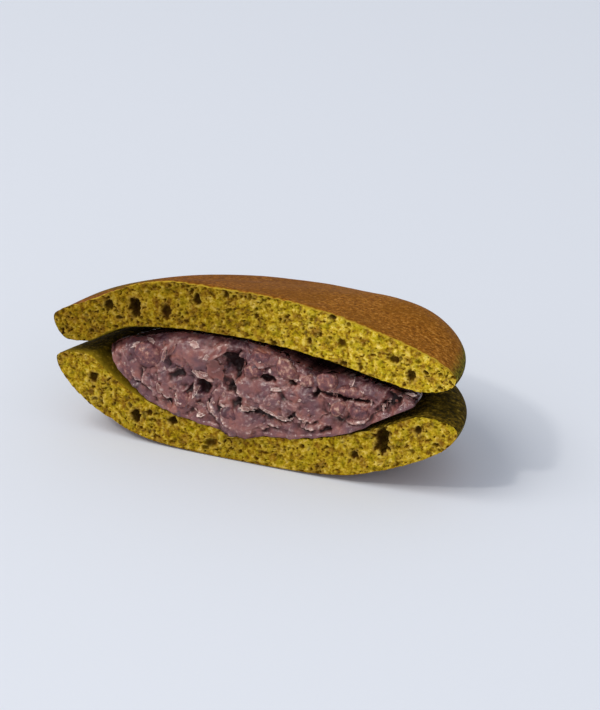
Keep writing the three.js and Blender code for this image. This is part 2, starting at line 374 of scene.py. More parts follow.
crumb = {
    "poresPerMm2": 4.2,
    "smallest": 0.13,  # radius of a pore, mm
    "largest": 0.75,
    "rarity": 3.2,  # how fast larger pores get rare
    "sink": (-0.8, 0.25),  # how far behind the cut a pore's centre lies, in its radii
    "stretch": (0.65, 1.2),
    "ragged": 0.35,  # how far a pore's outline wanders
    "holeRagged": 0.65,  # the same for a named hole, as a part of its size
    "pitDepth": 0.5,  # of torn pits between the pores, in patches
    "pitLimit": 0.33,  # noise above this is a pit; torn patches and dense crumb lower it
    "tornLowers": 0.27,
    "denseLowers": 0.08,
    "grain": 0.13,  # roughness of the walls between the pores
    "waves": 0.25,  # slow unevenness left by the knife
    "noises": {  # size in mm, layers, seed step
        "hole": (1.3, 3, 5),
        "raggedX": (0.8, 3, 8),
        "raggedZ": (0.8, 3, 9),
        "torn": (6, 2, 10),
        "pits": (0.75, 3, 11),
        "grain": (0.8, 3, 1),
        "waves": (7, 2, 2),
    },
}


def crumbRaster(pancake):
    # How far the pores go in behind the cut, and how rough the walls between them are.
    random = np.random.default_rng(pancake["seed"])

    def noise(name, points=rasterPoints):
        return namedNoise(crumb, name, points, pancake["seed"])

    width, height = cut["right"] - cut["left"], cut["top"] - cut["bottom"]
    count = int(crumb["poresPerMm2"] * width * height)
    ratio = (crumb["smallest"] / crumb["largest"]) ** crumb["rarity"]
    radii = crumb["smallest"] * (1 - random.random(count) * (1 - ratio)) ** (-1 / crumb["rarity"])
    centres = random.random((count, 2)) * [width, height] + [cut["left"], cut["bottom"]]
    sinks = radii * random.uniform(*crumb["sink"], count)
    stretches = random.uniform(*crumb["stretch"], count)
    pores = np.zeros(rasterPoints.shape[:2])
    # A pore is a ball that the knife went through, and the deepest one wins.
    for (x, z), radius, sink, stretch in zip(centres, radii, sinks, stretches):
        area, offX, offZ = windowAt(x, z, radius * 1.5)
        ball = radius**2 - (offX * stretch) ** 2 - (offZ / stretch) ** 2
        depth = np.where(ball > 0, sink + np.sqrt(np.maximum(0, ball)), 0)
        pores[area] = np.maximum(pores[area], depth)
    for x, z, wide, high, depth in pancake["holes"]:
        area, offX, offZ = windowAt(x, z, max(wide, high))
        uneven = 1 + crumb["holeRagged"] * noise("hole", rasterPoints[area])
        out = np.hypot(offX / wide, offZ / high) * 2 * uneven
        pores[area] = np.maximum(pores[area], 1.3 * depth * smoothStep(out, 1.3, 0.3))
    # Noise shifts where pores and holes are read, so that they are ragged.
    shiftX, shiftZ = [crumb["ragged"] * noise(name) for name in ("raggedX", "raggedZ")]
    pores = sampleRaster(pores, rasterPoints[..., 0] + shiftX, rasterPoints[..., 1] + shiftZ)
    # Torn pits lie where noise passes a limit, which is lower in some patches.
    torn = smoothStep(noise("torn"), -0.1, 0.5)
    dense = np.interp(rasterX, *pancake["shade"])[:, None]
    limit = crumb["pitLimit"] - crumb["tornLowers"] * torn - crumb["denseLowers"] * dense
    pits = smoothStep(noise("pits") - limit, 0, 0.3)
    rough, wavy = [crumb[name] * noise(name) for name in ("grain", "waves")]
    return np.maximum(pores, crumb["pitDepth"] * pits), rough + wavy


baked = {
    "waves": 0.22,  # heights of slow waves, finer dimples and the edge that the knife tore, mm
    "dimples": 0.035,
    "torn": 0.32,
    "tornReach": 0.6,
    "rounding": 0.35,  # how far the crust turns down to the cut, and over what reach
    "innerRounding": 0.6,
    "roundingReach": 0.4,
    "innerShare": 0.7,  # the inner side has this much of the crust's relief
    "noises": {
        "waves": (9, 2, 3),
        "dimples": (1.1, 2, 4),
        "torn": (1.1, 2, 6),
        "nearCut": (1.5, 3, 13),
        "bake": (4, 2, 7),
        "underCrust": (1.3, 3, 12),
    },
}


def roundedBy(far, pancake, y, out):
    # How far an edge is rounded where it meets the cut.
    return pancake["side"] * far * np.exp(-y / baked["roundingReach"]) * (1 - out**10)


def crustRelief(pancake, x, y, out):
    # The griddled skin: slow waves, finer dimples, and a slightly torn edge along the cut.
    at = np.stack([x, y, np.full_like(x, 50.0 * pancake["side"])], axis=-1)
    waves, dimples, torn = [
        baked[name] * namedNoise(baked, name, at, pancake["seed"]) for name in ("waves", "dimples", "torn")
    ]
    relief = (waves * smoothStep(y, 0, 4) + dimples) * (1 - out**8)
    return relief + torn * np.exp(-y / baked["tornReach"]) - roundedBy(baked["rounding"], pancake, y, out)


def makeSponge(pancake, crust, inner, materials):
    pores, rough = crumbRaster(pancake)
    face = pores + rough
    upward = pancake["side"] > 0
    shape = {
        "centreX": pancake["centreX"],
        "halfLength": math.sqrt(lie["radius"] ** 2 - lie["cutOffset"] ** 2),
        "radiusX": lie["radius"],
        "radiusY": lie["radius"],
        "offset": lie["cutOffset"],
    }

    def roughCrust(x, y):
        # The foot of the lower pancake is pressed smooth.
        out, _ = placeOn(pancake, x, y)
        return crust(x, y) + crustRelief(pancake, x, y, out) * (1 if upward else smoothStep(out, 0.5, 0.7))

    def roughInner(x, y):
        out, _ = placeOn(pancake, x, y)
        relief = baked["innerShare"] * crustRelief(pancake, x, y, out)
        return inner(x, y) + relief + roundedBy(baked["innerRounding"], pancake, y, out)

    def openPores(points):
        points[..., 1] += sampleRaster(face, points[..., 0], points[..., 2])
        return points

    top, underside = (roughCrust, roughInner) if upward else (roughInner, roughCrust)
    points, polygons, zones = halfDisc(shape, spongeGrid, top, underside, openPores)
    x, y, z = points.T
    out, way = placeOn(pancake, x, y)
    rise = pancake["side"] * (z - sizeAt(pancake["rim"], out, way))

    def uneven(name):
        return namedNoise(baked, name, points, pancake["seed"])

    attributes = {
        # painted shade in the pores, darker the further in they go behind the cut
        "poreShade": 1 - np.exp(-np.maximum(0, sampleRaster(pores, x, z)) / 0.4),
        "nearCut": smoothStep(y + 0.5 * uneven("nearCut"), 0.5, 0.1),
        "bake": smoothStep(rise + 0.5 * uneven("bake"), 0.6, 2.6),
        # painted highlight: the lips around pores are paler
        "lipHighlight": np.clip(sampleRaster(softened(pores, 0.4) - pores, x, z) / 0.16, 0, 1),
        # painted light: the inner skin is paler just behind the cut at the left
        "litBehindCut": 0.7 * np.exp(-y / 2.5) * smoothStep(x, 5, -20),
        "underCrust": np.abs(crust(x, 0 * x) - z) + 0.4 * uneven("underCrust"),
        # painted shade: crumb and crust are darker where this is high
        "shade": np.interp(x, *pancake["shade"]),
    }
    if not upward:  # the zones are the cut, the top and the underside; the crust has material 1
        zones = np.array([0, 2, 1])[zones]
    name, node = pancake["name"], pancake["node"]
    addPiece(name, node, toRow(points), polygons, materials, zones, attributes)


filling = {
    "name": "bean_paste",
    "node": "bean_filling",
    "centreX": 2.2,
    "halfLength": 35,
    "depth": 26,
    "edgeHeight": 21.2,
    "edgeFall": 1.6,
    "leftPower": 8,
    "rightPower": 4,
    "settled": [(14, 0, 7, 12, 2.4), (-26, 0, 6, 10, 1.2)],  # how far the top has sunk
    "seed": 23,
    "wander": 0.7,  # how far the outlines of masses wander, mm
    "swell": 0.35,  # heights of the relief, from slow swells down to grain
    "clump": 0.5,
    "sheetHeight": 0.3,  # how high the edge of a thin layer of paste stands
    "crease": 0.3,
    "crumbling": 0.3,  # how rough torn edges are
    "lump": 0.22,
    "grain": 0.09,
    "sagging": 0.9,  # how far out the foot stands
    "setBack": 2.0,  # how far back the top edge lies
    "forms": [  # x, z, width, height, turn in degrees, rise: masses of paste, and dips where it is negative
        (-29.5, 18.0, 7, 7, 0, 0.6),
        (-20.3, 21.8, 2.2, 3.6, -25, 0.7),
        (-14.0, 22.5, 10, 6.5, 10, 1.1),
        (-20.5, 15.5, 9, 7, -20, 1.0),
        (-24.0, 13.5, 7, 5, -35, 0.7),
        (-15.5, 12.2, 6, 4.5, 60, 1.2),
        (-12.7, 14.2, 1.8, 3, 10, 0.8),
        (-11.3, 16.0, 3.8, 3.6, -30, -2.2),
        (-4.4, 21.8, 6.0, 6.6, 10, -3.2),
        (-3.2, 23.6, 1.8, 1.4, 30, 1.3),
        (-5.2, 17.2, 4.8, 2.4, -40, -1.6),
        (-17.2, 17.2, 3.4, 2.2, 20, -0.7),
        (-14.6, 13.8, 1.8, 4.6, -25, -1.2),
        (14.8, 19.0, 3.2, 1.2, 60, -1.0),
        (-7.5, 24.6, 6.5, 2.6, 40, 0.9),
        (-2.0, 10.0, 10, 6.5, 0, 1.7),
        (-5.6, 13.3, 3.4, 2.4, -20, 0.7),
        (1.8, 24.0, 5, 3.6, -10, 0.8),
        (0.4, 21.4, 4.4, 2.6, 0, 0.9),
        (3.6, 20.4, 4.6, 1.5, -15, -1.3),
        (1.8, 16.8, 10.5, 6.5, -8, 1.2),
        (7.8, 21.4, 5.6, 1.3, -30, -1.3),
        (6.8, 19.6, 4.2, 2.2, -10, 0.7),
        (6.0, 18.4, 2.4, 0.8, 5, 0.5),
        (10.6, 16.8, 9, 5.5, -5, 1.0),
        (6.0, 14.6, 7.5, 4, -10, 0.9),
        (12.8, 21.0, 4, 3, 0, 0.5),
        (15.0, 13.5, 6.5, 4.5, 0, 0.8),
        (17.7, 11.7, 2.4, 2.6, 0, -1.2),
        (20.8, 19.2, 13.5, 1.2, 0, -1.5),
        (20.6, 16.6, 4.2, 3.2, 20, 1.0),
        (25.4, 16.8, 4.6, 4, -20, 0.9),
        (24.0, 13.2, 7, 4, 25, 0.8),
        (22.5, 22.8, 1.6, 2, 10, 0.7),
        (26.8, 21.6, 4.6, 3, -10, 0.6),
        (31.6, 20.0, 4, 6, -30, -2.0),
        (35.2, 21.6, 4, 1.8, 10, 0.6),
        (29.4, 18.6, 3.6, 2.0, 40, -0.9),
    ],
    "ledges": [  # height, reach behind the edge, then x, z along a torn edge with the high side on its left
        (0.9, 1.8, (-13.8, 19.6), (-12.6, 18.1), (-11.2, 17.6), (-9.6, 18.6)),
        (0.9, 2.6, (-3.4, 19.4), (-3.5, 17.8), (-2.6, 16.1), (-1.0, 15.4)),
        (0.9, 2.0, (-2.3, 14.9), (-1.9, 13.4), (-0.4, 12.8), (1.2, 13.5), (2.4, 13.3)),
        (0.9, 2.0, (2.4, 14.8), (4.4, 13.3), (6.4, 12.5), (8.3, 12.0), (9.6, 13.5)),
        (0.7, 2.0, (-21.0, 15.2), (-20.3, 13.0), (-18.9, 12.0), (-17.6, 12.4)),
        (0.7, 1.4, (-17.4, 13.8), (-16.6, 11.4), (-15.4, 10.9), (-14.6, 12.4)),
        (0.8, 2.4, (-8.9, 14.2), (-9.8, 12.3), (-8.6, 10.5), (-6.6, 9.0)),
        (0.6, 1.6, (-12.4, 10.4), (-11.2, 9.4), (-10.2, 10.0)),
        (0.7, 2.0, (10.2, 14.4), (12.0, 12.8), (14.4, 12.5), (16.0, 13.8)),
        (0.6, 1.6, (17.4, 18.0), (19.2, 16.4), (20.6, 15.4), (22.2, 16.0)),
        (0.7, 1.8, (21.6, 14.6), (24.0, 14.4), (26.4, 15.2), (28.0, 16.8)),
        (0.6, 1.6, (-28.6, 16.8), (-26.6, 15.0), (-24.4, 14.6)),
        (0.6, 1.5, (10.4, 22.4), (11.6, 20.9), (13.4, 20.4), (14.6, 21.2)),
        (0.5, 1.4, (0.2, 22.8), (2.2, 22.3), (4.2, 22.9)),
        (0.6, 1.6, (-6.8, 12.4), (-6.2, 10.2), (-4.6, 8.6), (-2.6, 8.2)),
        (0.5, 1.4, (2.6, 9.2), (4.8, 10.2), (7.4, 10.0)),
        (0.5, 1.4, (11.4, 11.6), (13.6, 10.9), (15.8, 11.4)),
        (0.5, 1.6, (-25.8, 17.8), (-25.0, 15.0), (-22.8, 12.8)),
    ],
    "mashed": {  # beans pressed under the paste, anywhere on the cut
        "count": 36,
        "x": (-34, 38),
        "z": (5, 30),
        "length": (0.9, 2.6),  # half of it, mm
        "width": (0.5, 0.85),  # as a part of the length
        "rise": (0.15, 0.4),  # as a part of the width
    },
    "noises": {
        "wanderX": (2, 3, 1),
        "wanderZ": (2, 3, 2),
        "sheets": (6.5, 2, 3),
        "swell": (5, 2, 4),
        "tint": (5, 3, 5),
        "patches": (1.8, 2, 6),
        "crumbling": (0.8, 2, 7),
        "crease": (2.4, 2, 8),
        "creased": (5, 2, 9),
        "grain": (0.7, 3, 10),
        "lump": (1.6, 3, 11),
        "clump": (4.2, 3, 12),
        "foot": (1.5, 2, 13),
        "topLumps": (2.6, 3, 6),
        "undersideLumps": (2.6, 3, 7),
        "sag": (3, 2, 8),
    },
}
pasteGrid = {"sections": 440, "faceRows": 140, "topRows": 34, "undersideRows": 22}


def closeOnEdge(full, x, y):
    # Both faces of the paste close on one height at its round edge, which falls towards the back.
    out = np.hypot((x - filling["centreX"]) / filling["halfLength"], y / filling["depth"])
    toRight = smoothStep(x, -filling["halfLength"], filling["halfLength"])
    power = filling["leftPower"] + (filling["rightPower"] - filling["leftPower"]) * toRight
    edge = filling["edgeHeight"] - filling["edgeFall"] * y / filling["depth"]
    return edge + (full - edge) * roundEdge(out, power)


def fillingTop(x, y):
    sunk = swollen(0, x, y, filling["settled"])
    return closeOnEdge(upperInner(x, y) - lie["clearance"] - sunk, x, y)


def fillingUnderside(x, y):
    return closeOnEdge(lowerInner(x, y) + lie["clearance"], x, y)


def besideEdge(points, ends):
    # How far each point lies to the left of a broken line: from the nearest segment, minus on its right.
    nearest = np.full(points.shape[:2], 99.0)
    beside = np.zeros(points.shape[:2])
    for start, end in zip(ends[:-1], ends[1:]):
        alongX, alongZ = end[0] - start[0], end[1] - start[1]
        fromX, fromZ = points[..., 0] - start[0], points[..., 1] - start[1]
        part = np.clip((fromX * alongX + fromZ * alongZ) / (alongX**2 + alongZ**2), 0, 1)
        away = np.hypot(fromX - part * alongX, fromZ - part * alongZ)
        left = np.sign(alongX * fromZ - alongZ * fromX)
        beside = np.where(away < nearest, away * left, beside)
        nearest = np.minimum(nearest, away)
    return beside


def onAxes(points, x, z, wide, high, turn):
    # How far points lie from x, z along the axes of a turned oval, in its width and its height.
    offX, offZ = points[..., 0] - x, points[..., 1] - z
    cosine, sine = math.cos(turn), math.sin(turn)
    return (offX * cosine + offZ * sine) / wide, (offZ * cosine - offX * sine) / high


def pasteRaster():
    # How far the paste stands out of the cut, its tint, and its torn rims, which are paled as a painted
    # highlight.
    random = np.random.default_rng(filling["seed"])

    def noise(name, points=rasterPoints):
        return namedNoise(filling, name, points, filling["seed"])

    x, z = rasterPoints[..., 0], rasterPoints[..., 1]
    warp = np.stack([noise("wanderX"), noise("wanderZ"), 0 * x], axis=-1)
    warped = rasterPoints + filling["wander"] * warp
    rise = filling["swell"] * noise("swell")
    rise += filling["lump"] * noise("lump")
    rise += filling["clump"] * np.abs(noise("clump", warped)) - 0.15
    # Thin sheets are a slow field cut into steps.
    level = 1.3 * noise("sheets", rasterPoints + 1.6 * warp) + 0.5
    step = level - np.floor(level)
    rise += filling["sheetHeight"] * (np.floor(level) + smoothStep(step, 0, 0.14))
    tint = 0.5 + 0.45 * noise("tint")
    # Masses and dips are domes with wandering outlines.
    for atX, atZ, wide, high, turn, height in filling["forms"]:
        area, _, _ = windowAt(atX, atZ, max(wide, high) * 0.75)
        out = np.hypot(*onAxes(warped[area], atX, atZ, wide, high, math.radians(turn))) * 2
        rise[area] += height * np.maximum(0, 1 - (out / 1.15) ** 2) ** (0.8 if height > 0 else 1.2)
    # Mashed beans are low ellipsoids, each with its own tint.
    mashed = filling["mashed"]
    for _ in range(mashed["count"]):
        atX, atZ = random.uniform(*mashed["x"]), random.uniform(*mashed["z"])
        length = random.uniform(*mashed["length"])
        width = length * random.uniform(*mashed["width"])
        turn = random.uniform(0, math.pi)
        height = random.uniform(*mashed["rise"]) * width
        shade = random.random()
        area, _, _ = windowAt(atX, atZ, length * 1.3)
        across, along = onAxes(warped[area], atX, atZ, length, width, turn)
        inside = np.maximum(0, 1 - across**2 - along**2)
        rise[area] += height * inside**1.2
        tint[area] += (shade - tint[area]) * smoothStep(inside, 0, 0.5)
    # The paste stands up behind a torn edge and falls away over its reach, with a groove before the edge.
    # Torn rims along the sheets' steps and the ledges: they crumble, and the material pales them as a
    # painted highlight.
    rim = 0.2 * smoothStep(step, 0.3, 0.02)
    for height, reach, *ends in filling["ledges"]:
        middle = np.mean(ends, axis=0)
        area, _, _ = windowAt(middle[0], middle[1], np.ptp(ends, axis=0).max() / 2 + 2.5 * reach)
        beside = besideEdge(warped[area], ends)
        toEnds = [np.hypot(*(rasterPoints[area][..., :2] - end).T).T for end in (ends[0], ends[-1])]
        whole = height * smoothStep(np.min(toEnds, axis=0), 0, 1.2)
        rise[area] += whole * smoothStep(beside, -0.1, 0.15) * np.exp(-np.maximum(0, beside) / reach)
        rise[area] -= 0.5 * whole * np.exp(-((np.minimum(0, beside) / 0.5) ** 2)) * (beside < 0)
        torn = smoothStep(beside, -0.05, 0.1) * smoothStep(beside, 0.9, 0.3) * whole
        rim[area] = np.maximum(rim[area], torn)
    patches = smoothStep(noise("patches"), -0.3, 0.3)
    rise += filling["crumbling"] * np.abs(noise("crumbling")) * rim * patches
    creases = (1 - np.abs(noise("crease", warped))) ** 5
    rise -= filling["crease"] * creases * smoothStep(noise("creased"), -0.2, 0.3)
    rise += filling["grain"] * noise("grain")
    # The top edge is set back, and the foot stands just out over the sponge.
    below = np.maximum(0, fillingTop(x, 0 * x) - z)
    above = np.maximum(0, z - fillingUnderside(x, 0 * x))
    rise += filling["sagging"] * np.exp(-above / 2.5) - 1.0 - filling["setBack"] * np.exp(-below / 1.3)
    foot = 0.2 + 0.3 * noise("foot") - 1.2 * above - 4 * smoothStep(np.abs(x), 24, 28)
    return np.maximum(rise, foot), np.clip(tint, 0, 1), rim * patches


def makePaste(material):
    rise, tint, rim = pasteRaster()
    # Wide folds and fine creases, for painted shade; where the fine one is negative, crests, for painted
    # highlight.
    deep = softened(rise, 1.1) - rise
    edge = softened(rise, 0.3) - rise
    shape = {
        "centreX": filling["centreX"],
        "halfLength": filling["halfLength"],
        "radiusX": filling["halfLength"],
        "radiusY": filling["depth"],
        "offset": 0,
    }

    def lumpy(x, y, name):
        at = np.stack([x, y, np.zeros_like(x)], axis=-1)
        return 0.5 * np.abs(namedNoise(filling, name, at, filling["seed"]))

    def top(x, y):
        return fillingTop(x, y) - lumpy(x, y, "topLumps")

    def underside(x, y):
        # It presses into the sponge at the cut, and lies on it unevenly further back.
        pressed = 0.5 * np.exp(-y / 2)
        return fillingUnderside(x, y) + lumpy(x, y, "undersideLumps") * smoothStep(y, 0, 5) - pressed

    def lumped(points):
        # Out by the relief. Near its foot the paste sags over the sponge's edge, most left of the middle.
        x, y, z = np.moveaxis(points, -1, 0)
        uneven = 0.5 * namedNoise(filling, "sag", points, filling["seed"])
        sag = 0.3 + 0.9 * np.exp(-(((x + 2) / 4) ** 2)) + uneven
        sag = np.maximum(0, sag) * smoothStep(x, -30, -24) * smoothStep(x, 31, 26)
        hang = sag * np.exp(-(z - z[:, :1]) / 0.9)
        return np.stack([x, y - sampleRaster(rise, x, z), z - hang], axis=-1)

    points, polygons, _ = halfDisc(shape, pasteGrid, top, underside, lumped)
    x, y, z = points.T
    attributes = {
        # painted shade in the folds
        "deep": np.clip(sampleRaster(deep, x, z), -1, 1),
        # painted shade in fine creases where positive, painted highlight on crests where negative
        "edge": np.clip(sampleRaster(edge, x, z) / 0.2, -1, 1),
        "tint": sampleRaster(tint, x, z),
        # painted highlight on torn rims near the cut
        "rim": sampleRaster(rim, x, z) * (y < 3),
    }
    name, node = filling["name"], filling["node"]
    addPiece(name, node, toRow(points), polygons, [material], None, attributes)
    return rise


def makeShells(name, rings, poles, material, attributes):
    # Closed shells, one for each first index of rings: from one pole over rings of points to the other pole.
    # Rings run anticlockwise as seen from outside the first pole.
    shells, rows, columns = rings.shape[:3]
    size = rows * columns + 2
    points = np.concatenate([rings.reshape(shells, -1, 3), poles], axis=1).reshape(-1, 3)
    start = np.arange(shells)[:, None, None] * size
    polygons = [(start + part).reshape(-1, part.shape[-1]) for part in tube(rows, columns)]
    spread = {label: np.broadcast_to(values, (shells, size)).ravel() for label, values in attributes.items()}
    addPiece(name, None, toRow(points), polygons, [material], None, spread)


def turnedFrom(x, z, along, across, turn):
    # The place that lies along and across from x, z, with those two ways turned.
    return x + along * np.cos(turn) - across * np.sin(turn), z + along * np.sin(turn) + across * np.cos(turn)


beans = {
    "name": "adzuki_beans",
    "rows": 30,
    "columns": 40,
    "bluntness": 2.4,
    "dent": 0.16,  # as a part of the radius
    "wrinkle": 0.6,  # its height and size, mm
    "wrinkleSize": 1.7,
    "seed": 61,
    # x, z, length, width, thickness, turn in degrees, how far it stands out of the paste, tone
    "places": [
        (-24.4, 20.5, 6.6, 5.4, 4.6, -15, 1.9, 0.35),
        (7.6, 22.9, 5.4, 3.5, 3.2, -38, 1.5, 0.6),
        (17.1, 21.9, 4.8, 4.3, 3.6, 20, 1.7, 0.5),
        (22.6, 20.5, 6.2, 2.4, 2.8, 3, 1.5, 0.4),
        (20.4, 16.9, 3.8, 2.8, 2.6, 30, 1.1, 0.5),
        (25.2, 16.9, 4.4, 3.4, 3.0, -10, 1.1, 0.25),
        (-15.8, 12.0, 4.2, 2.8, 2.8, 65, 0.6, 0.35),
        (1.9, 24.2, 4.6, 3.2, 3.0, -10, 0.6, 0.3),
        (0.5, 21.4, 4.2, 2.4, 2.6, 0, 0.6, 0.5),
        (-28.6, 16.6, 4.4, 3.0, 3.0, -50, 0.5, 0.3),
        (12.6, 21.2, 4.2, 2.8, 2.8, 10, 0.5, 0.5),
        (-4.2, 11.0, 4.6, 3.0, 2.8, -25, 0.4, 0.1),
    ],
}


def makeBeans(rise, material):
    # A bean is a rounded spindle: its half width goes with (1 - |t|^bluntness)^(1/2) over its length t, its
    # section is an ellipse with a dent along one side, and noise wrinkles its skin.
    x, z, length, width, thickness, turn, stands, tone = np.array(beans["places"]).T[:, :, None, None]
    turn = np.radians(turn)
    t = np.sin(np.linspace(1, -1, beans["rows"] + 2)[1:-1] * math.pi / 2)[None, :, None]
    angle = np.linspace(0, 2 * math.pi, beans["columns"], endpoint=False)[None, None, :]
    profile = np.sqrt(1 - np.abs(t) ** beans["bluntness"])
    dent = 1 - beans["dent"] * np.exp(-(((angle - 1.2 * math.pi) / 0.5) ** 2)) * (1 - t**2)
    along = length / 2 * t + 0 * angle
    across = width / 2 * profile * np.cos(angle) * dent
    outward = thickness / 2 * profile * np.sin(angle) * dent
    surface = softened(rise, 0.8)
    middle = thickness / 2 - stands - sampleRaster(surface, x, z)

    def placed(along, across, outward):
        atX, atZ = turnedFrom(x, z, along, across, turn)
        return np.stack([atX, middle - outward, atZ], axis=-1)

    rings = placed(along, across, outward)
    for axis in range(3):
        wrinkles = layeredNoise(rings, beans["wrinkleSize"], 3, beans["seed"] + 5 * axis)
        rings[..., axis] += beans["wrinkle"] * profile * wrinkles
    ends = np.array([1.0, -1.0])[None, :, None]
    poles = placed(length / 2 * ends, 0 * ends, 0 * ends)[:, :, 0]
    makeShells(beans["name"], rings, poles, material, {"tone": tone[:, 0]})


skins = {
    "name": "bean_skins_and_glints",
    "thickness": 0.16,
    "outs": [0.2, 0.42, 0.64, 0.84, 1.0],  # how far out the rings of points lie
    "columns": 22,
    "ragged": 0.8,  # how far the outline wanders, as a part of the flake
    "seed": 71,
    "scattered": {
        # Small skin fragments; the palest of them stand in for glints, as painted highlights.
        "count": 90,
        "x": (-30, 33),
        "aboveFoot": 1.2,  # how near they come to the paste's foot and top, mm
        "belowTop": 2.0,
        # half length, half width, turn, lift, which side curls
        "ranges": [(0.15, 0.6), (0.1, 0.32), (0, 180), (0.1, 0.5), (0, 360)],
        "darkness": 1.4,  # the power of their tones
    },
    # The dark ones are real skins, such as the flap and the curled tube; the palest, pinkish white, are
    # painted highlights, set where glints and bright rims show.
    # x, z, half length, half width, turn in degrees, lift of the curled side, which side curls, tone
    "places": [
        (-8.0, 20.2, 2.5, 1.8, -60, 1.6, 0, 0.1),
        (-10.6, 18.3, 1.9, 0.7, -25, 1.0, 270, 0.5),
        (-7.6, 24.4, 3.0, 0.9, 42, 1.2, 310, 0.25),
        (-10.2, 22.7, 0.9, 0.5, 35, 0.5, 90, 0.8),
        (-12.0, 18.3, 1.5, 0.6, -20, 0.6, 260, 0.8),
        (-20.3, 21.4, 1.6, 0.5, 75, 0.7, 0, 0.55),
        (-18.7, 22.7, 1.5, 0.4, 60, 0.7, 180, 0.35),
        (-27.4, 22.2, 1.1, 0.5, 35, 0.4, 90, 0.9),
        (-24.2, 23.5, 1.0, 0.45, -20, 0.4, 90, 0.75),
        (-12.7, 14.3, 1.2, 0.35, 70, 0.5, 0, 0.9),
        (-13.6, 24.8, 1.2, 0.55, -15, 0.2, 90, 0.65),
        (17.3, 21.7, 0.8, 0.5, 70, 0.5, 0, 1.0),
        (17.9, 20.3, 0.7, 0.4, 20, 0.4, 200, 0.9),
        (22.6, 22.7, 1.0, 0.5, 80, 0.4, 0, 0.85),
        (20.4, 16.8, 0.9, 0.5, 40, 0.5, 90, 1.0),
        (19.1, 16.1, 0.7, 0.4, -30, 0.4, 90, 0.9),
        (4.1, 21.9, 0.5, 0.35, 90, 0.4, 0, 1.0),
        (6.0, 18.5, 1.2, 0.35, 5, 0.3, 90, 0.9),
        (-3.1, 16.2, 0.5, 0.3, -40, 0.3, 0, 1.0),
        (-6.0, 12.8, 0.8, 0.35, -15, 0.3, 90, 0.95),
        (7.0, 23.8, 0.7, 0.4, -30, 0.3, 90, 0.9),
        (8.7, 22.2, 0.8, 0.4, -40, 0.3, 90, 0.7),
        (-0.4, 13.2, 1.4, 0.5, -10, 0.6, 270, 0.75),
        (7.6, 12.5, 1.6, 0.5, -12, 0.6, 270, 0.8),
        (5.0, 13.6, 1.3, 0.4, -25, 0.5, 270, 0.65),
        (-16.4, 11.8, 1.3, 0.4, 110, 0.5, 200, 0.85),
        (-11.2, 9.7, 0.9, 0.4, 10, 0.4, 270, 0.9),
        (-9.3, 11.6, 1.3, 0.35, -60, 0.5, 180, 0.6),
        (-21.0, 14.0, 1.1, 0.35, -75, 0.4, 180, 0.6),
        (25.0, 14.9, 1.1, 0.4, 15, 0.4, 270, 0.6),
        (34.8, 21.9, 1.8, 0.5, 12, 0.3, 90, 0.75),
    ],
}


def makeSkins(rise, material):
    # A flake is a ragged oval laid on the paste: out from its middle its curled side lifts with the square
    # of the way, and its back lies one thickness behind its front. Its tone is paler at its edge.
    random = np.random.default_rng(skins["seed"])
    scattered = skins["scattered"]
    count = scattered["count"]
    x = random.uniform(*scattered["x"], count)
    low = fillingUnderside(x, 0 * x) + scattered["aboveFoot"]
    high = fillingTop(x, 0 * x) - scattered["belowTop"]
    z = low + (high - low) * random.random(count)
    shapes = [random.uniform(*limits, count) for limits in scattered["ranges"]]
    tone = random.random(count) ** scattered["darkness"]
    table = np.concatenate([np.array(skins["places"]), np.stack([x, z, *shapes, tone], axis=-1)])
    x, z, longer, shorter, turn, lift, curled, tone = table.T[:, :, None, None]
    turn = np.radians(turn)
    angle = np.linspace(0, 2 * math.pi, skins["columns"], endpoint=False)[None, None, :]
    out = np.array(skins["outs"])[None, :, None]
    around = np.stack([3 * np.cos(angle) + x, 3 * np.sin(angle) + z, 5 * x + 0 * angle], axis=-1)
    ragged = 1 + skins["ragged"] * layeredNoise(around, 1.3, 3, skins["seed"] + 1) * out
    surface = softened(rise, 0.45)

    def laid(out, angle, ragged, behind):
        along = longer * out * ragged * np.cos(angle)
        across = shorter * out * ragged * np.sin(angle)
        atX, atZ = turnedFrom(x, z, along, across, turn)
        curl = lift * out**2 * (0.15 + 0.85 * np.maximum(0, np.cos(angle + turn - np.radians(curled))))
        return np.stack([atX, behind - 0.1 - sampleRaster(surface, atX, atZ) - curl, atZ], axis=-1)

    front = laid(out, angle, ragged, 0)
    back = laid(out, angle, ragged, skins["thickness"])[:, ::-1]
    middles = [laid(np.zeros((1, 1, 1)), 0 * x, 1, behind)[:, 0, 0] for behind in (0, skins["thickness"])]
    rings = np.concatenate([front, back], axis=1)
    outs = skins["outs"] + skins["outs"][::-1]
    paler = 0.35 * np.append(np.repeat(outs, skins["columns"]), [0, 0]) ** 6
    makeShells(skins["name"], rings, np.stack(middles, axis=1), material, {"tone": tone[:, 0] + paler})


def linearColour(code):
    # An sRGB hex colour as linear light.
    parts = [int(code[at : at + 2], 16) / 255 for at in (1, 3, 5)]
    return (*[p / 12.92 if p <= 0.04045 else ((p + 0.055) / 1.055) ** 2.4 for p in parts], 1)


def setSockets(tree, node, sockets):
    # Each socket is set to a value, or linked from another node's output.
    for name, value in sockets.items():
        if isinstance(value, bpy.types.NodeSocket):
            tree.links.new(value, node.inputs[name])
        else:
            node.inputs[name].default_value = value


def addNode(tree, kind, sockets, stops=(), **settings):
    # A node with its settings and sockets, and a ramp's stops, as places from 0 to 1 with their hex colours.
    # It gives the node's outputs.
    node = tree.nodes.new(kind)
    for name, value in settings.items():
        setattr(node, name, value)
    setSockets(tree, node, sockets)
    for _ in stops[2:]:
        node.color_ramp.elements.new(0.5)
    for index, (position, code) in enumerate(stops):
        node.color_ramp.elements[index].position = position
        node.color_ramp.elements[index].color = linearColour(code)
    return node.outputs


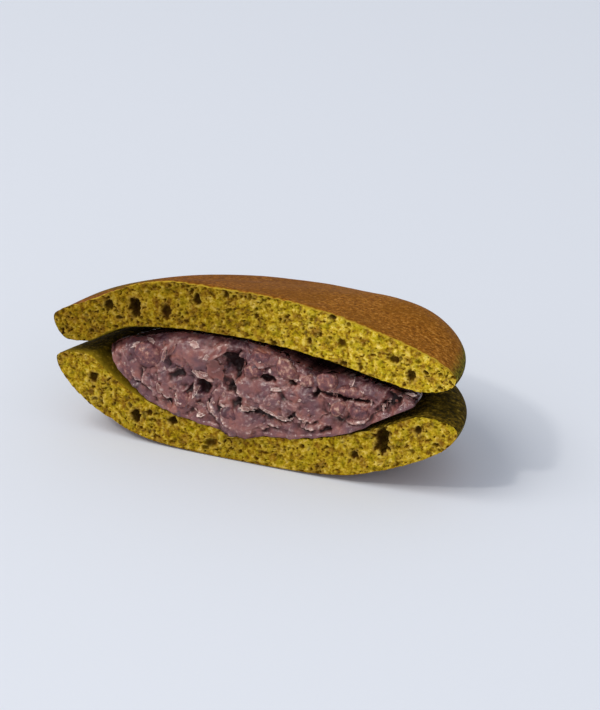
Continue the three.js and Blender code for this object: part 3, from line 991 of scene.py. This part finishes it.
def perMetre(size):
    return 1 / (size * mm)  # a pattern's scale from the size of its feature in millimetres


def newMaterial(name, carried=(), noises=()):
    # A material, what the points of its piece carry under these names, and noises, each from the size of its
    # features in millimetres, its detail and its roughness.
    material = bpy.data.materials.new(name)
    material.use_nodes = True
    tree = material.node_tree
    place = addNode(tree, "ShaderNodeTexCoord", {})["Object"]
    values = [addNode(tree, "ShaderNodeAttribute", {}, attribute_name=label)["Fac"] for label in carried]
    for size, detail, roughness in noises:
        pattern = {"Vector": place, "Scale": perMetre(size), "Detail": detail, "Roughness": roughness}
        values.append(addNode(tree, "ShaderNodeTexNoise", pattern)[0])
    return material, tree, place, *values


def layered(tree, colour, layers):
    # Each layer lies over those before it. Its share grows as a value goes from start to end, up to most.
    # It is mixed in, unless it names another way to blend.
    for value, start, end, most, over, *blend in layers:
        grown = {"Value": value, "From Min": start, "From Max": end, "To Max": most}
        share = addNode(tree, "ShaderNodeMapRange", grown)[0]
        mixed = {0: share, 6: colour, 7: linearColour(over) if isinstance(over, str) else over}
        colour = addNode(tree, "ShaderNodeMix", mixed, data_type="RGBA", blend_type=[*blend, "MIX"][0])[2]
    return colour


def finished(material, colour, pattern, height, strength, look):
    # The surface takes its colour, bumps up to a height in millimetres from a pattern, and its look.
    tree = material.node_tree
    bumps = {"Height": pattern, "Distance": height * mm, "Strength": strength}
    look = {"Base Color": colour, "Normal": addNode(tree, "ShaderNodeBump", bumps)[0], **look}
    setSockets(tree, tree.nodes["Principled BSDF"], look)
    return material


def underSkin(weight, *reach):
    # Light that goes up to half a millimetre into the food, with the reach of red, green and blue.
    return {"Subsurface Weight": weight, "Subsurface Radius": reach, "Subsurface Scale": 0.5 * mm}


def spongeCrumb():
    # Green tea sponge cut with a knife: matt and open, yellow-green walls with brown pits between them,
    # darkened by painted shade the further in they go, and lips around them paled as a painted highlight.
    # Painted shade also darkens the crumb, most to the left. The finest flecks are drawn at about twice
    # their size, so that they show.
    carried = ["poreShade", "lipHighlight", "shade", "underCrust"]
    noises = [(1.2, 4, 0.64), (1.9, 4, 0.5), (0.4, 3, 0.5)]
    material, tree, _, poreShade, lipHighlight, shade, under, fleck, patch, grain = newMaterial(
        "green_tea_sponge_crumb", carried, noises
    )
    tones = [(0.34, "#533a02"), (0.42, "#8b6b08"), (0.49, "#b89814"), (0.56, "#dab82a"), (0.66, "#f6da6c")]
    walls = addNode(tree, "ShaderNodeValToRGB", {"Fac": fleck}, tones)[0]
    # the pores' darker brown, with painted shade that grows the further in they go
    poreShadeTones = [(0.2, "#745010"), (0.6, "#4c2d08"), (1, "#2e1a08")]
    depth = addNode(tree, "ShaderNodeValToRGB", {"Fac": poreShade}, poreShadeTones)[0]
    layers = [
        (patch, 0.52, 0.66, 0.62, "#94641a"),  # warmer
        (patch, 0.49, 0.36, 0.45, "#b0a30c"),  # greener
        # painted highlight on the lips around pores
        (lipHighlight, 0, 1, 0.4, "#d9bc62"),
        # painted shade in the pores
        (poreShade, 0.12, 0.8, 0.92, depth),
        # painted shade: darker where shade is high, most to the left
        (shade, 0, 1, 1, "#a8987a", "MULTIPLY"),
        (under, 0.4, 0.05, 0.5, "#73480f"),
    ]
    look = {"Roughness": 1.0, "Specular IOR Level": 0.05, **underSkin(0.1, 1.0, 0.7, 0.2)}
    return finished(material, layered(tree, walls, layers), grain, 0.12, 0.8, look)


def bakedCrust():
    # The griddled face of the sponge: a satin brown skin with dark and light specks, which turns to bare
    # green at the rim, where it never touched the griddle, and to pale crumb where the knife went through.
    # Painted shade darkens it where the crumb is darkened, most to the left.
    noises = [(0.8, 4, 0.7), (11, 3, 0.5), (0.7, 4, 0.5), (0.6, 4, 0.5)]
    material, tree, place, bake, shade, nearCut, mottle, patch, leaf, dimple = newMaterial(
        "griddled_crust", ["bake", "shade", "nearCut"], noises
    )
    browns = [(0.3, "#522d08"), (0.44, "#7e4c10"), (0.54, "#955d18"), (0.68, "#c4893c")]
    brown = addNode(tree, "ShaderNodeValToRGB", {"Fac": mottle}, browns)[0]
    speck = addNode(tree, "ShaderNodeTexVoronoi", {"Vector": place, "Scale": perMetre(0.9)})
    toneOfDot = addNode(tree, "ShaderNodeSeparateColor", {"Color": speck["Color"]})[0]
    dots = [(0.5, "#4e2c05"), (0.62, "#7d500e"), (0.85, "#8f5e14"), (0.93, "#cf9646")]
    dot = addNode(tree, "ShaderNodeValToRGB", {"Fac": toneOfDot}, dots)[0]
    layers = [
        (patch, 0.42, 0.62, 0.55, "#7c4c0e"),
        (speck["Distance"], 0.3, 0.12, 0.7, dot),
        # painted shade: darker where shade is high, most to the left
        (shade, 0, 1, 1, "#dcceb4", "MULTIPLY"),
    ]
    skin = layered(tree, brown, layers)
    greens = [(0.35, "#332f08"), (0.52, "#665c14"), (0.7, "#95872c")]
    green = addNode(tree, "ShaderNodeValToRGB", {"Fac": leaf}, greens)[0]
    whole = layered(tree, green, [(bake, 0, 1, 1, skin), (nearCut, 0, 1, 1, "#b3942a")])
    look = {"Roughness": 0.75, "Specular IOR Level": 0.04, **underSkin(0.05, 1.0, 0.5, 0.2)}
    return finished(material, whole, dimple, 0.12, 0.8, look)


def innerSkin():
    # The second side of each pancake, hardly browned: a dull green skin, pitted, with brown blotches.
    # Painted light makes it paler just behind the cut at the left, where light reaches in between the
    # pancakes.
    material, tree, _, behind, blotch, pits = newMaterial(
        "pale_inner_skin", ["litBehindCut"], [(1.1, 4, 0.7), (0.8, 4, 0.5)]
    )
    tones = [(0.34, "#1f1903"), (0.48, "#443606"), (0.58, "#654f0e"), (0.7, "#9c8230")]
    skin = addNode(tree, "ShaderNodeValToRGB", {"Fac": blotch}, tones)[0]
    # painted light just behind the cut
    whole = layered(tree, skin, [(behind, 0, 1, 1, "#8f7716")])
    return finished(material, whole, pits, 0.3, 0.9, {"Roughness": 0.9, "Specular IOR Level": 0.05})


def beanPaste():
    # Coarse sweet bean paste: mauve-brown and moist, with a wet coat that shines on its crests. Painted
    # shade makes it near black in its folds and darker in fine creases, and painted highlight pales its
    # crests and torn rims. The wet coat follows the bumps.
    material, tree, _, deep, edge, tint, torn, cloud, fibre = newMaterial(
        "coarse_bean_paste", ["deep", "edge", "tint", "rim"], [(2.4, 4, 0.5), (0.7, 3, 0.7)]
    )
    mixed = addNode(tree, "ShaderNodeMath", {0: tint, 1: cloud}, operation="ADD")[0]
    halved = addNode(tree, "ShaderNodeMath", {0: mixed, 1: 0.5}, operation="MULTIPLY")[0]
    tones = [(0.25, "#50333b"), (0.42, "#6a4145"), (0.56, "#86514b"), (0.72, "#a36552")]
    body = addNode(tree, "ShaderNodeValToRGB", {"Fac": halved}, tones)[0]
    # Painted highlight: crests and torn rims are paled towards the rim tones.
    crestHighlight = {"Value": edge, "From Min": -0.2, "From Max": -1, "To Max": 0.4}
    pale = {0: torn, 1: 0.95, 2: addNode(tree, "ShaderNodeMapRange", crestHighlight)[0]}
    paler = addNode(tree, "ShaderNodeMath", pale, operation="MULTIPLY_ADD", use_clamp=True)[0]
    rims = [(0.38, "#8a5c54"), (0.5, "#b58b7e"), (0.6, "#f0d6c9")]
    rim = addNode(tree, "ShaderNodeValToRGB", {"Fac": fibre}, rims)[0]
    layers = [
        # painted shade: near black in the folds, darker in fine creases
        (deep, 0.03, 0.5, 0.96, "#1c0d0d"),
        (edge, 0.2, 0.9, 0.5, "#2c1716"),
        # painted highlight on crests and torn rims
        (paler, 0, 1, 1, rim),
    ]
    dull = {"Value": cloud, "From Min": 0.35, "From Max": 0.65, "To Min": 0.24, "To Max": 0.5}
    wet = {"Value": deep, "From Min": -0.1, "From Max": 0.3, "To Min": 0.8, "To Max": 0}
    coatBumps = {"Height": fibre, "Distance": 0.2 * mm, "Strength": 0.8}
    look = {
        "Roughness": addNode(tree, "ShaderNodeMapRange", dull)[0],
        "Specular IOR Level": 0.2,
        "Coat Weight": addNode(tree, "ShaderNodeMapRange", wet)[0],
        "Coat Normal": addNode(tree, "ShaderNodeBump", coatBumps)[0],
        "Coat Roughness": 0.13,
        **underSkin(0.08, 1.0, 0.4, 0.35),
    }
    return finished(material, layered(tree, body, layers), fibre, 0.2, 0.8, look)


def boiledBean():
    # Boiled adzuki: a tight reddish-mauve skin, wet, cloudy where the sugar paste clings to it.
    material, tree, _, tone, cloud = newMaterial("boiled_adzuki", ["tone"], [(1.2, 4, 0.65)])
    shifted = addNode(tree, "ShaderNodeMath", {0: tone, 1: 0.3, 2: -0.13}, operation="MULTIPLY_ADD")[0]
    varied = addNode(tree, "ShaderNodeMath", {0: shifted, 1: cloud}, operation="ADD")[0]
    tones = [(0.32, "#533238"), (0.44, "#6f4346"), (0.54, "#88564f"), (0.64, "#b88c7b"), (0.74, "#dcb9a6")]
    body = addNode(tree, "ShaderNodeValToRGB", {"Fac": varied}, tones)[0]
    look = {"Roughness": 0.5, "Specular IOR Level": 0.25, "Coat Weight": 0.25, "Coat Roughness": 0.15}
    return finished(material, body, cloud, 0.45, 0.8, {**look, **underSkin(0.1, 1.0, 0.4, 0.35)})


def beanSkin():
    # Loose skins off the mashed beans: thin, wet and curled, from brick red to a pinkish beige. The palest
    # stand in for glints, as painted highlights.
    material, tree, _, tone, cloud = newMaterial("loose_bean_skin_and_glint", ["tone"], [(0.8, 3, 0.5)])
    shifted = addNode(tree, "ShaderNodeMath", {0: cloud, 1: 0.5, 2: -0.25}, operation="MULTIPLY_ADD")[0]
    varied = addNode(tree, "ShaderNodeMath", {0: shifted, 1: tone}, operation="ADD")[0]
    tones = [(0.05, "#6b2f25"), (0.3, "#84463b"), (0.6, "#93645a"), (0.85, "#bb9184"), (1, "#e0c4b6")]
    body = addNode(tree, "ShaderNodeValToRGB", {"Fac": varied}, tones)[0]
    look = {"Roughness": 0.35, "Coat Weight": 0.5, "Coat Roughness": 0.15}
    return finished(material, body, cloud, 0.12, 0.7, look)


spongeMaterials = [spongeCrumb(), bakedCrust(), innerSkin()]
makeSponge(upperPancake, upperCrust, upperInner, spongeMaterials)
makeSponge(lowerPancake, lowerCrust, lowerInner, spongeMaterials)
pasteRise = makePaste(beanPaste())
makeBeans(pasteRise, boiledBean())
makeSkins(pasteRise, beanSkin())

studio = {
    "azimuth": 25,  # degrees from the front towards the right
    "elevation": 23.4,
    "distance": 0.75,
    "frameWidth": 0.128,  # metres across the picture at the half
    "target": (0.002, 0.0, 0.0165),
    "floor": "#dde1e8",
    "floorReach": 3.0,
    "floorHeight": -0.05 * mm,  # just clear of the foot
    "air": "#e6ebf5",
    "airStrength": 0.7,
    # name, place, size, power and colour of each light
    "lights": [
        ("key", (-0.8, -0.65, 1.6), 1.1, 14.2, "#fffaf2"),
        ("spark", (-0.5, -0.9, 1.1), 0.12, 3.7, "#fffaf2"),
        ("fill", (0.9, -1.2, 0.6), 0.8, 2.5, "#f4f7ff"),
    ],
}


def aimed(location):
    # The turn that looks from a location at the target.
    return (Vector(studio["target"]) - Vector(location)).to_track_quat("-Z", "Y").to_euler()


def addCamera():
    turn, lift = math.radians(studio["azimuth"]), math.radians(studio["elevation"])
    way = Vector((math.sin(turn) * math.cos(lift), -math.cos(turn) * math.cos(lift), math.sin(lift)))
    data = bpy.data.cameras.new("camera")
    data.sensor_fit = "HORIZONTAL"
    data.lens = data.sensor_width * studio["distance"] / studio["frameWidth"]
    camera = addObject("camera", data)
    camera.location = Vector(studio["target"]) + way * studio["distance"]
    camera.rotation_euler = aimed(camera.location)
    bpy.context.scene.camera = camera


def addLight(name, location, size, power, colour):
    data = bpy.data.lights.new(name, "AREA")
    data.size, data.energy, data.color = size, power, linearColour(colour)[:3]
    light = addObject(name, data)
    light.location = location
    light.rotation_euler = aimed(location)


def addStage():
    # A pale matt floor far wider than the view, and even light from all round.
    mesh = bpy.data.meshes.new("floor")
    reach, height = studio["floorReach"], studio["floorHeight"]
    corners = [(x * reach, y * reach, height) for x, y in ((-1, -1), (1, -1), (1, 1), (-1, 1))]
    mesh.from_pydata(corners, [], [(0, 1, 2, 3)])
    floor = addObject("floor", mesh)
    material, tree, _ = newMaterial("pale_floor")
    look = {"Base Color": linearColour(studio["floor"]), "Roughness": 0.8, "Specular IOR Level": 0.2}
    setSockets(tree, tree.nodes["Principled BSDF"], look)
    mesh.materials.append(material)
    world = bpy.data.worlds.new("air")
    world.use_nodes = True
    air = {"Color": linearColour(studio["air"]), "Strength": studio["airStrength"]}
    setSockets(world.node_tree, world.node_tree.nodes["Background"], air)
    bpy.context.scene.world = world


addCamera()
addStage()
for light in studio["lights"]:
    addLight(*light)
bpy.context.scene.view_settings.view_transform = "Standard"
print("stage and light are set")
